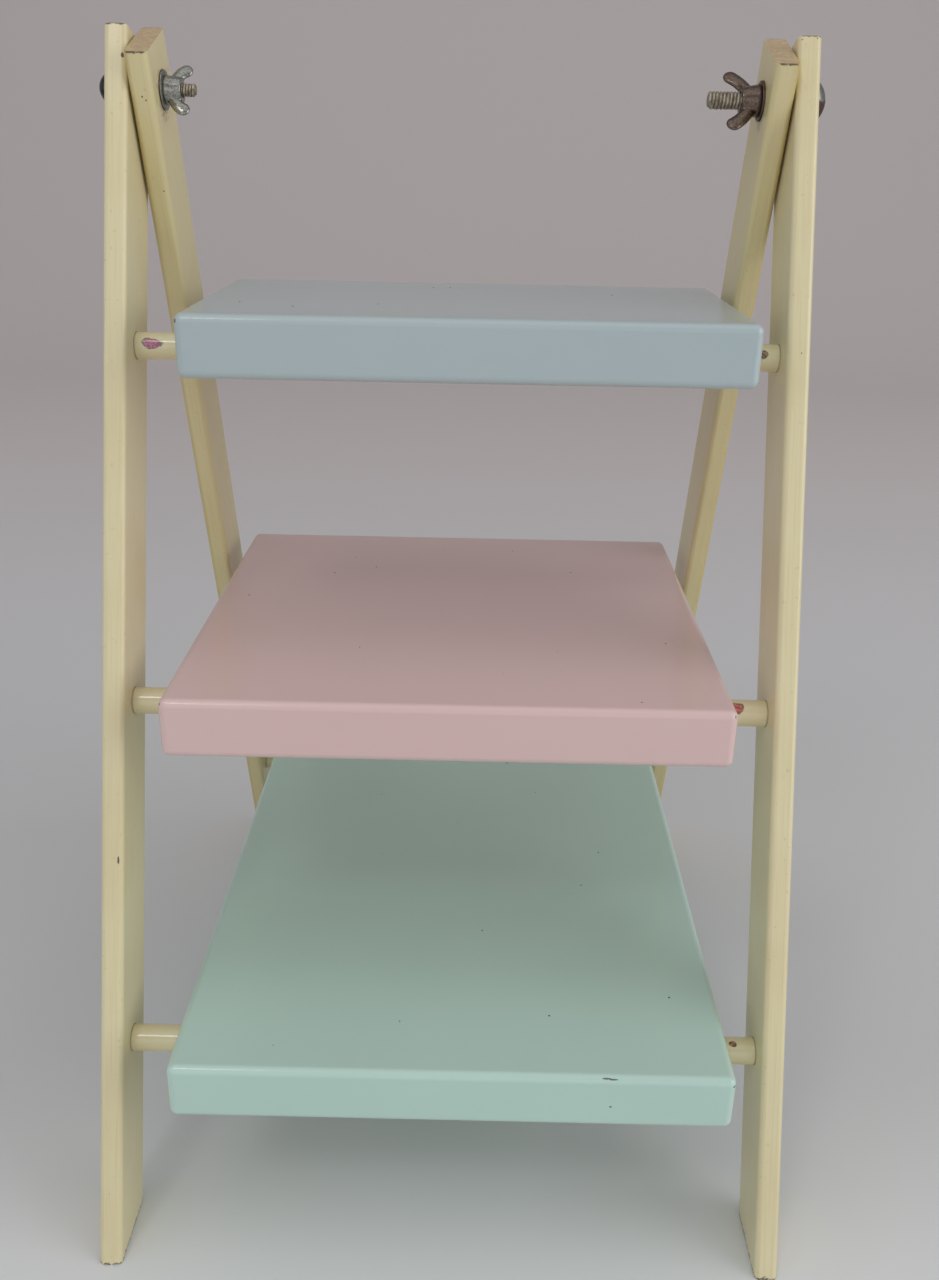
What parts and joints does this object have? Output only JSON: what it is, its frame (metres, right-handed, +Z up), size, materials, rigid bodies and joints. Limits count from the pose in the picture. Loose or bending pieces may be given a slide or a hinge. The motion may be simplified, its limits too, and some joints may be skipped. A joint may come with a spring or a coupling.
{
  "type": "folding tiered cake stand",
  "caption": "Folding A-frame ladder stand in painted wood: two hinged frames with round rungs carry lift-off boards, widest at the bottom, for cakes.",
  "frame": {"origin": "on the floor, midway between the four feet, straight below the hinge axis", "axes": "+Z up, +Y to the back, +X to the right as seen from the front, where the boards overhang; the hinge axis is along X"},
  "size_m": [0.261, 0.316, 0.4203],
  "materials": {
    "front_leg_paint": "cream satin paint, brushed on",
    "rear_leg_paint": "cream satin paint, brushed on, worn at the front edges",
    "rung_paint": "cream gloss paint with a few chips",
    "upper_tray_paint": "pale blue satin paint",
    "middle_tray_paint": "pale pink satin paint",
    "lower_tray_paint": "mint green satin paint",
    "bolt_steel": "dull zinc plate with light rust",
    "washer_steel": "dull zinc plate, rust at the rim",
    "left_nut_steel": "cast, bright zinc plate",
    "right_nut_steel": "cast, browned with rust"
  },
  "bodies": {
    "front_frame": {"front_leg_left": "front_leg_paint", "front_leg_right": "front_leg_paint", "front_rung_upper": "rung_paint", "front_rung_middle": "rung_paint", "front_rung_lower": "rung_paint", "pivot_bolt_left": "bolt_steel", "pivot_bolt_right": "bolt_steel", "washer_left": "washer_steel", "washer_right": "washer_steel"},
    "rear_frame": {"rear_leg_left": "rear_leg_paint", "rear_leg_right": "rear_leg_paint", "rear_rung_upper": "rung_paint", "rear_rung_middle": "rung_paint", "rear_rung_lower": "rung_paint"},
    "upper_board": {"tray_upper": "upper_tray_paint"},
    "middle_board": {"tray_middle": "middle_tray_paint"},
    "lower_board": {"tray_lower": "lower_tray_paint"},
    "left_wing_nut": {"wing_nut_left": "left_nut_steel"},
    "right_wing_nut": {"wing_nut_right": "right_nut_steel"}
  },
  "joints": [
    {"name": "fold", "type": "hinge", "parent": "front_frame", "child": "rear_frame", "pos_m": [0, 0, 0.3995], "axis": [-1, 0, 0], "range_deg": [0, 26.5]},
    {"name": "upper_board_lift", "type": "slide", "parent": "front_frame", "child": "upper_board", "axis": [0, 0, 1], "range_m": [0, 0.04]},
    {"name": "middle_board_lift", "type": "slide", "parent": "front_frame", "child": "middle_board", "axis": [0, 0, 1], "range_m": [0, 0.04]},
    {"name": "lower_board_lift", "type": "slide", "parent": "front_frame", "child": "lower_board", "axis": [0, 0, 1], "range_m": [0, 0.04]},
    {"name": "left_wing_nut_spin", "type": "hinge", "parent": "front_frame", "child": "left_wing_nut", "pos_m": [-0.1, 0, 0.3995], "axis": [1, 0, 0], "continuous": true},
    {"name": "right_wing_nut_spin", "type": "hinge", "parent": "front_frame", "child": "right_wing_nut", "pos_m": [0.1, 0, 0.3995], "axis": [1, 0, 0], "continuous": true}
  ]
}
